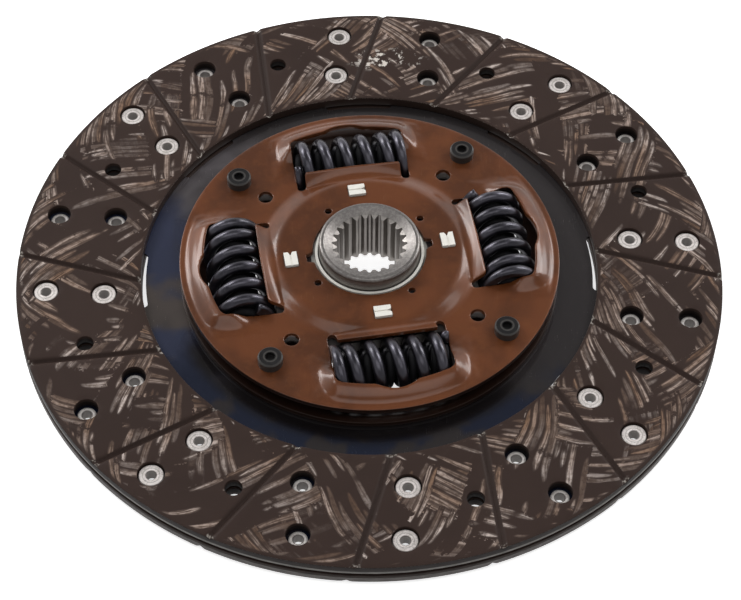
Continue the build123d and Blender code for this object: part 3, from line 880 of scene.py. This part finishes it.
def boxed(loop):
    """A closed outline, after the box that holds it."""
    xs, ys = zip(*loop)
    return min(xs), max(xs), min(ys), max(ys), loop


def in_any(x, y, holes):
    """True if a point is inside one of some boxed outlines."""
    return any(a < x < b and c < y < d and inside_loop(x, y, loop) for a, b, c, d, loop in holes)


def grid_points(reach, spacing, clear):
    """A triangular grid of points, wherever clear allows them."""
    points = []
    rows = int(reach / (spacing * 0.866)) + 1
    columns = int(reach / spacing) + 1
    for row in range(-rows, rows + 1):
        y = row * spacing * 0.866
        shift = spacing / 2 if row % 2 else 0.0
        fresh = [(col * spacing + shift, y) for col in range(-columns, columns + 1)]
        points += [p for p in fresh if clear(*p)]
    return points


def flat_mesh(loops, spacing, edge, extra, clear):
    """A flat mesh between an outer outline and its holes.

    It gives the points, the faces, and the number that each point of the outlines has become.
    """
    outline = [point for loop in loops for point in loop]
    segments, first = [], 0
    for loop in loops:
        segments += [(first + k, first + (k + 1) % len(loop)) for k in range(len(loop))]
        first += len(loop)
    tree = kdtree.KDTree(len(outline))
    for k, (x, y) in enumerate(outline):
        tree.insert((x, y, 0.0), k)
    tree.balance()
    holes = [boxed(loop) for loop in loops[1:]]
    reach = max(hypot(x, y) for x, y in loops[0]) + edge
    limit = reach - edge - spacing * 0.3
    room = min(spacing * 0.45, 0.4)

    def fits(x, y):
        return hypot(x, y) < limit and tree.find((x, y, 0.0))[2] > room and not in_any(x, y, holes)

    points = outline + [p for p in list(extra) + grid_points(reach, spacing, clear) if fits(*p)]
    found = geometry.delaunay_2d_cdt([Vector(p) for p in points], segments, [], 0, 1e-5)
    flat = [tuple(v) for v in found[0]]
    number = {originals[0]: k for k, originals in enumerate(found[3]) if originals}
    faces = []
    for face in found[2]:
        cx = sum(flat[k][0] for k in face) / len(face)
        cy = sum(flat[k][1] for k in face) / len(face)
        if hypot(cx, cy) < reach and not in_any(cx, cy, holes):
            faces.append(tuple(face))
    return flat, faces, number


def sheet_piece(name, outer, holes, height, under, base, spacing, edge, up, extra, clear):
    """A sheet with rounded edges: skin at base + up * height(x, y), its other side at under(x, y, skin).

    outer runs counter-clockwise and holes clockwise, so that the metal lies to the left of each outline.
    """
    outer = outer if area_of(outer) > 0 else outer[::-1]
    holes = [loop if area_of(loop) < 0 else loop[::-1] for loop in holes]
    loops = [grown(loop, -edge) for loop in [outer] + holes]
    flat, faces, number = flat_mesh(loops, spacing, edge, extra, clear)
    skin = [height(x, y) for x, y in flat]
    below = [under(x, y, h) for (x, y), h in zip(flat, skin)]
    verts = [(x, y, base + up * h) for (x, y), h in zip(flat, skin)]
    verts += [(x, y, base + up * h) for (x, y), h in zip(flat, below)]
    count = len(flat)
    polygons = [face if up > 0 else face[::-1] for face in faces]
    polygons += [tuple(k + count for k in (face[::-1] if up > 0 else face)) for face in faces]
    curve = [(edge * sin(a), edge * (1 - cos(a))) for a in (pi / 6, pi / 3, pi / 2)]
    profile = [(out, down, True) for out, down in curve]
    profile += [(out, down, False) for out, down in reversed(curve)]
    first = 0
    for loop in loops:
        ids = [number[first + k] for k in range(len(loop))]
        first += len(loop)
        previous = ids
        for out, down, upper in profile:
            now = list(range(len(verts), len(verts) + len(loop)))
            for k, (x, y) in zip(ids, grown(loop, out)):
                drop = min(down, (skin[k] - below[k]) / 2)
                verts.append((x, y, base + up * (skin[k] - drop if upper else below[k] + drop)))
            polygons += ring_faces(previous, now, up)
            previous = now
        polygons += ring_faces(previous, [k + count for k in ids], up)
    return mesh_object(name, verts, polygons)


def ring_faces(a, b, up):
    """Quads between two rings of vertices."""
    n = len(a)
    quads = [(a[k], b[k], b[(k + 1) % n], a[(k + 1) % n]) for k in range(n)]
    return [q[::-1] for q in quads] if up < 0 else quads


def mesh_object(name, verts, polygons, shade=True):
    """A mesh in metres from points in millimetres."""
    mesh = bpy.data.meshes.new(name)
    mesh.from_pydata([(x * MM, y * MM, z * MM) for x, y, z in verts], [], polygons)
    mesh.update()
    if shade:
        mesh.polygons.foreach_set("use_smooth", [True] * len(mesh.polygons))
    obj = bpy.data.objects.new(name, mesh)
    bpy.context.scene.collection.objects.link(obj)
    return obj


def on_form(x, y):
    """True where a plate bends sharply: on the flaps and hoods of its windows."""
    r = hypot(x, y)
    for i in range(DAMPERS):
        u, v = turned_to(x, y, WINDOW_ANGLE + 90 * i)
        if 30.7 < u < 37.6 and abs(v) < 17.0 or 54.0 < r < 63.2 and abs(v) < 27.5 and u > 0:
            return True
    return False


def form_points():
    """Closer points over the flaps and hoods, in rows along their bends."""
    points = []
    for i in range(DAMPERS):
        angle = WINDOW_ANGLE + 90 * i
        for row in range(12):
            u = 31.0 + 0.58 * row
            for k in range(-20, 21):
                points.append(turned_to(u, (k + 0.5 * (row % 2)) * 0.8, -angle))
        for row in range(15):
            r = 54.3 + 0.63 * row
            for k in range(-32, 33):
                lean = (k + 0.5 * (row % 2)) * 0.85
                points.append(spun(r, angle + lean))
    return [p for p in points if on_form(*p)]


def plate_holes(spacing, inner, outer, scalloped, small):
    """Windows, pin holes and access holes of a plate, with its other holes added."""
    loops = []
    for i in range(DAMPERS):
        loops.append(window_loop(WINDOW_ANGLE + 90 * i, spacing * 0.6, inner, outer, scalloped))
        pin = WINDOW_ANGLE + 45 + 90 * i
        loops.append(circle_loop(*spun(PIN_CIRCLE, pin), PIN_HOLE, 28))
        loops.append(circle_loop(*spun(ACCESS_CIRCLE, pin), ACCESS_HOLE, 30))
    return loops + small


# ---------------------------------------------------------------- facings



def facing_spots(side):
    """Centres of the rivet holes on one side of the segments' centre lines."""
    spots = []
    for i in range(8):
        for row in RIVET_ROWS:
            lean = degrees(atan2(RIVET_OFFSET, row))
            spots.append(spun(hypot(row, RIVET_OFFSET), SEGMENT_ANGLE + 45 * i + side * lean))
    return spots


def groove_point(index, along, beside):
    """A point near a groove, by its distances along and beside the groove's middle line."""
    lean = radians(GROOVE_TILT)
    u = FACING_MIDDLE + along * cos(lean) + beside * sin(lean)
    v = -along * sin(lean) + beside * cos(lean)
    return turned_to(u, v, -(GROOVE_ANGLE + index * 360 / GROOVES))


def groove_distance(x, y):
    """Distance from the nearest groove's middle line."""
    pitch = 360 / GROOVES
    nearest = round((degrees(atan2(y, x)) - GROOVE_ANGLE) / pitch)
    lean = radians(GROOVE_TILT)
    best = 99.0
    for k in (nearest - 1, nearest, nearest + 1):
        u, v = turned_to(x, y, GROOVE_ANGLE + k * pitch)
        best = min(best, abs((u - FACING_MIDDLE) * sin(lean) + v * cos(lean)))
    return best


def add_seat(verts, polygons, x, y):
    """The seat of a rivet's head at the bottom of its counterbore."""
    count = 28
    low = PACK_MID + PACK_HALF_GAP
    high = low + SEAT_HEIGHT
    first = len(verts)
    for radius, z in ((SHANK_HOLE, low), (SEAT_RADIUS, low), (SEAT_RADIUS, high), (SHANK_HOLE, high)):
        verts += [(px, py, z) for px, py in circle_loop(x, y, radius, count)]
    for ring in range(4):
        a, b = first + ring * count, first + (ring + 1) % 4 * count
        polygons += [(a + k, a + (k + 1) % count, b + (k + 1) % count, b + k) for k in range(count)]


# ---------------------------------------------------------------- springs



def coil_shape(diameter, wire, pitch, hand, phase, sides):
    """Points and faces of a coil spring along Y about the origin, with closed turns and flat ground ends."""
    half, radius = WINDOW_HALF, (diameter - wire) / 2
    start, closed = half - wire * 0.15, wire * 1.03
    open_turns = 2 * (start - closed) / pitch
    turns = open_turns + 2
    steps = round(turns * 44)

    def at(t):
        spread = pitch * max(0, min(t - 1, open_turns))
        along = -start + closed * min(t, 1) + spread + closed * max(0, t - 1 - open_turns)
        angle = hand * 2 * pi * t + radians(phase)
        return Vector((radius * cos(angle), along, -radius * sin(angle)))

    verts, polygons = [], []
    for k in range(steps + 1):
        t = turns * k / steps
        here = at(t)
        ahead = (at(t + 1e-3) - at(t - 1e-3)).normalized()
        outward = Vector((here.x, 0, here.z)).normalized()
        side = ahead.cross(outward).normalized()
        outward = side.cross(ahead)
        for m in range(sides):
            a = 2 * pi * m / sides
            p = here + (outward * cos(a) + side * sin(a)) * wire / 2
            verts.append((p.x, min(max(p.y, -half), half), p.z))
        if k:
            a, b = (k - 1) * sides, k * sides
            polygons += [(a + m, a + (m + 1) % sides, b + (m + 1) % sides, b + m) for m in range(sides)]
    last = steps * sides
    polygons.append(tuple(range(sides))[::-1])
    polygons.append(tuple(range(last, last + sides)))
    return verts, polygons


# ---------------------------------------------------------------- operators


class CLUTCH_OT_finishes(bpy.types.Operator):
    """Make the finishes of the disc"""

    bl_idname = "clutch.finishes"
    bl_label = "Make Finishes"

    def execute(self, context):
        finish = context.scene.clutch_finish
        for make_group in (grain_group, marks_group, yarn_group):
            make_group()
        for make in (friction_lining, copper_lacquer, blued_steel, rivet_plating, machined_steel, moulded_plastic):
            make(finish)
        dark_metal("spring_lacquer", colour=finish.spring, pale=(0.22, 0.22, 0.23),
                   gloss=0.30, coat=0.3, metal=0.95)
        # The inner springs' lacquer at 12 per cent of the springs' colour is painted shade inside the outer
        # springs
        dark_metal("inner_spring_shaded_lacquer", colour=shaded(finish.spring, 0.12), pale=(0.03, 0.03, 0.03),
                   gloss=0.75, coat=0.0)
        dark_metal("pin_oxide", colour=(0.009, 0.008, 0.0085), pale=(0.07, 0.065, 0.06),
                   gloss=0.34, coat=0.35, highlight_rings=(2.1, 3.9))
        return {"FINISHED"}


def facing_shape(spacing, edge, groove_depth):
    """Points and faces of the gearbox-side facing, with the seats of its rivets."""
    seats, reaches = facing_spots(1), facing_spots(-1)
    vents = [spun(VENT_CIRCLE, SEGMENT_ANGLE + 22.5 + 45 * i) for i in range(8)]
    holes = [circle_loop(0, 0, FACING_INNER, 330)]
    holes += [circle_loop(x, y, SEAT_RADIUS, 28) for x, y in seats]
    holes += [circle_loop(x, y, REACH_HOLE, 26) for x, y in reaches]
    holes += [circle_loop(x, y, VENT_HOLE, 22) for x, y in vents]
    outer = circle_loop(0, 0, FACING_OUTER, 520)
    rows = [side * d for side in (-1, 1) for d in (0.15, 0.4, 0.7, 0.95, 1.25, 1.9)] + [0.0]
    extra = []
    for g in range(GROOVES):
        for k in range(-15, 16):
            extra += [groove_point(g, k * 1.6 + (0.8 if n % 2 else 0.0), d) for n, d in enumerate(rows)]
    extra = [p for p in extra if FACING_INNER + 0.9 < hypot(*p) < FACING_OUTER - 0.9]

    def height(x, y):
        return FACING_THICK - groove_depth * smooth(groove_distance(x, y), 1.2, 0.12)

    def under(x, y, skin):
        return 0.0

    def clear(x, y):
        return groove_distance(x, y) > 2.8 and hypot(x, y) > FACING_INNER

    obj = sheet_piece("facing", outer, holes, height, under, PACK_MID + PACK_HALF_GAP,
                      spacing, edge, 1, extra, clear)
    verts = [tuple(v.co / MM) for v in obj.data.vertices]
    polygons = [tuple(f.vertices) for f in obj.data.polygons]
    bpy.data.objects.remove(obj)
    for x, y in seats:
        add_seat(verts, polygons, x, y)
    return verts, polygons


class CLUTCH_OT_facings(bpy.types.Operator):
    """Mould the two friction facings with soft-edged grooves, and dress their rivets"""

    bl_idname = "clutch.facings"
    bl_label = "Mould Facings"

    def execute(self, context):
        sizes = context.scene.clutch_facings
        verts, polygons = facing_shape(sizes.spacing, sizes.edge, sizes.groove_depth)
        line = Vector((cos(radians(SEGMENT_ANGLE)), sin(radians(SEGMENT_ANGLE)), 0))
        over = Matrix.Rotation(pi, 4, line) @ Matrix.Translation((0, 0, -PACK_MID))
        over = Matrix.Translation((0, 0, PACK_MID)) @ over
        for side, place in (("gearbox", Matrix.Identity(4)), ("flywheel", over)):
            moved = [tuple(place @ Vector(v)) for v in verts]
            ring = mesh_object(f"facing_{side}_side_ring", moved, polygons)
            ring.data.materials.append(named_material("friction_lining"))
            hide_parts(f"facing_{side}_side")
            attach(ring, "disc")
            paint(f"facing_rivets_{side}_side", "rivet_plating")
        return {"FINISHED"}


class CLUTCH_OT_cushion(bpy.types.Operator):
    """Dress the cushion plate between the facings"""

    bl_idname = "clutch.cushion"
    bl_label = "Dress Cushion Plate"

    def execute(self, context):
        paint("cushion_plate", "blued_steel")
        return {"FINISHED"}


class CLUTCH_OT_retainers(bpy.types.Operator):
    """Press the two retainer plates from smooth sheet"""

    bl_idname = "clutch.retainers"
    bl_label = "Press Retainer Plates"

    def execute(self, context):
        plates = context.scene.clutch_plates
        spacing, edge = plates.spacing, plates.edge
        angles = [WINDOW_ANGLE + 90 * i for i in range(DAMPERS)]
        small = [circle_loop(*spun(GAUGE_CIRCLE, angle), GAUGE_HOLE, 18)
                 for angle in [WINDOW_ANGLE + GAUGE_LEAD + 90 * i for i in range(DAMPERS)]]
        small += [slot_loop(*spun(TAB_CIRCLE, angle), *TAB_SLOT, angle) for angle in angles]
        outer = circle_loop(0, 0, PLATE_RADIUS, 420)
        closer = form_points()
        round_hole = circle_loop(0, 0, HUB_HOLE, 120)
        low_rim = WINDOW_OUTER - LOW_WINDOW_TRIM
        sides = (
            ("gearbox", DOME_RISE, WINDOW_INNER, WINDOW_OUTER, True, [keyed_hole(0.8)] + small, 1),
            ("flywheel", WELL_RISE, LOW_WINDOW_INNER, low_rim, False, [round_hole], -1),
        )

        def plain(x, y):
            return not on_form(x, y)

        for side, rise, inner, rim, scalloped, extra_holes, up in sides:
            holes = plate_holes(spacing, inner, rim, scalloped, extra_holes)

            def height(x, y):
                return skin_height(x, y, rise, inner)

            obj = sheet_piece(f"retainer_{side}_side_skin", outer, holes, height, plate_underside,
                              MID + up * PLATE_HALF_GAP, spacing, edge, up, closer, plain)
            obj.data.materials.append(named_material("copper_lacquer"))
            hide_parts(f"retainer_plate_{side}_side")
            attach(obj, "disc")
        return {"FINISHED"}


class CLUTCH_OT_springs(bpy.types.Operator):
    """Wind the damper springs into their windows"""

    bl_idname = "clutch.springs"
    bl_label = "Wind Springs"

    def execute(self, context):
        sizes = context.scene.clutch_springs
        outer = (sizes.outer_diameter, sizes.outer_wire, sizes.outer_pitch, 1, OUTER_TURN, sizes.sides)
        inner = (sizes.inner_diameter, sizes.inner_wire, sizes.inner_pitch, -1, INNER_TURN, sizes.sides)
        kinds = (("damper_spring", "spring_lacquer", outer), ("inner_spring", "inner_spring_shaded_lacquer", inner))
        for i in range(DAMPERS):
            angle = WINDOW_ANGLE + 90 * i
            place = Matrix.Rotation(radians(angle), 4, "Z") @ Matrix.Translation((SPRING_CIRCLE, 0, MID))
            for kind, coat, shape in kinds:
                verts, polygons = coil_shape(*shape)
                moved = [tuple(place @ Vector(v)) for v in verts]
                obj = mesh_object(f"{kind}_{i + 1}_coil", moved, polygons)
                obj.data.materials.append(named_material(coat))
                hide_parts(f"{kind}_{i + 1}")
                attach(obj, "springs")
                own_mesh(obj)
        return {"FINISHED"}


class CLUTCH_OT_pins(bpy.types.Operator):
    """Dress the four stop pins"""

    bl_idname = "clutch.pins"
    bl_label = "Dress Stop Pins"

    def execute(self, context):
        for i in range(DAMPERS):
            paint(f"stop_pin_{i + 1}", "pin_oxide")
        return {"FINISHED"}


class CLUTCH_OT_bushes(bpy.types.Operator):
    """Dress the plastic bushes and the cone spring"""

    bl_idname = "clutch.bushes"
    bl_label = "Dress Bushes"

    def execute(self, context):
        paint("friction_bush_gearbox_side", "moulded_plastic")
        paint("centring_bush_flywheel_side", "moulded_plastic")
        paint("cone_spring", "blued_steel")
        return {"FINISHED"}


class CLUTCH_OT_hub(bpy.types.Operator):
    """Dress the splined hub"""

    bl_idname = "clutch.hub"
    bl_label = "Dress Hub"

    def execute(self, context):
        paint("splined_hub", "machined_steel")
        return {"FINISHED"}



def lay_floor(size):
    """A pale floor, which isn't part of the disc."""
    half = size / 2 / MM
    corners = [(-half, -half, 0), (half, -half, 0), (half, half, 0), (-half, half, 0)]
    floor = mesh_object("floor", corners, [(0, 1, 2, 3)], False)
    floor_paper()
    floor.data.materials.append(named_material("floor_paper"))


def light_world(scene, ambient, backdrop):
    """Even light from all round, and a pale wall low down behind the disc."""
    scene.world = bpy.data.worlds.new("studio")
    scene.world.use_nodes = True
    tree = scene.world.node_tree
    back = next(n for n in tree.nodes if n.type == "BACKGROUND")
    _, behind, height = split(coordinates(tree, "Generated"))
    low_band = step(height, 0.76, 0.48) * step(behind, -0.2, 0.6, 0.45, 1.0)
    set_inputs(back, Color=(1.0, 1.0, 1.0), Strength=maths("MULTIPLY_ADD", low_band, backdrop, ambient))


def hang_lamps(scene):
    """Rectangular lamps that face the disc."""
    for name, place, size, power in LAMPS:
        lamp = bpy.data.lights.new(name, "AREA")
        lamp.shape = "RECTANGLE"
        lamp.size, lamp.size_y = size
        lamp.energy = power
        holder = bpy.data.objects.new(name, lamp)
        holder.location = place
        holder.rotation_euler = (-Vector(place)).to_track_quat("-Z", "Y").to_euler()
        scene.collection.objects.link(holder)


def set_camera(scene, lens):
    """The camera, above the front of the disc."""
    data = bpy.data.cameras.new("camera")
    data.sensor_width = 36.0
    data.lens = lens
    camera = bpy.data.objects.new("camera", data)
    turn = Matrix(((1, 0, 0), CAMERA_UP, -Vector(CAMERA_LOOK))).transposed().to_4x4()
    roll = Matrix.Rotation(CAMERA_ROLL, 4, "Z")
    camera.matrix_world = Matrix.Translation(CAMERA_PLACE) @ turn @ roll
    scene.collection.objects.link(camera)
    scene.camera = camera


class CLUTCH_OT_stage(bpy.types.Operator):
    """Set the floor, the light and the camera"""

    bl_idname = "clutch.stage"
    bl_label = "Set Stage"

    def execute(self, context):
        stage = context.scene.clutch_stage
        lay_floor(stage.floor_size)
        light_world(context.scene, stage.ambient, stage.backdrop)
        hang_lamps(context.scene)
        set_camera(context.scene, stage.lens)
        context.scene.view_settings.view_transform = "Standard"
        return {"FINISHED"}


class CLUTCH_PT_panel(bpy.types.Panel):
    """Steps that dress the clutch disc, in order"""

    bl_idname = "CLUTCH_PT_panel"
    bl_label = "Clutch Disc"
    bl_space_type = "VIEW_3D"
    bl_region_type = "UI"
    bl_category = "Clutch Disc"

    def draw(self, context):
        column = self.layout.column()
        for name in STEPS:
            column.operator(f"clutch.{name}")
        for group, (label, _) in SETTINGS.items():
            box = self.layout.box()
            box.label(text=label)
            values = getattr(context.scene, group)
            for name in values.__annotations__:
                box.prop(values, name)


STEPS = ("finishes", "facings", "cushion", "retainers", "springs", "pins", "bushes", "hub", "stage")
SETTINGS = {
    "clutch_finish": ("Finish", ClutchFinish),
    "clutch_facings": ("Facings", ClutchFacings),
    "clutch_plates": ("Plates", ClutchPlates),
    "clutch_springs": ("Springs", ClutchSprings),
    "clutch_stage": ("Stage", ClutchStage),
}
CLASSES = (
    *(kind for _, kind in SETTINGS.values()),
    CLUTCH_OT_finishes, CLUTCH_OT_facings, CLUTCH_OT_cushion, CLUTCH_OT_retainers, CLUTCH_OT_springs,
    CLUTCH_OT_pins, CLUTCH_OT_bushes, CLUTCH_OT_hub, CLUTCH_OT_stage, CLUTCH_PT_panel,
)


def register():
    for item in CLASSES:
        bpy.utils.register_class(item)
    for group, (_, kind) in SETTINGS.items():
        setattr(bpy.types.Scene, group, bpy.props.PointerProperty(type=kind))


def unregister():
    for group in SETTINGS:
        delattr(bpy.types.Scene, group)
    for item in reversed(CLASSES):
        bpy.utils.unregister_class(item)


def main():
    register()
    for name in STEPS:
        getattr(bpy.ops.clutch, name)()


if __name__ == "__main__":
    main()
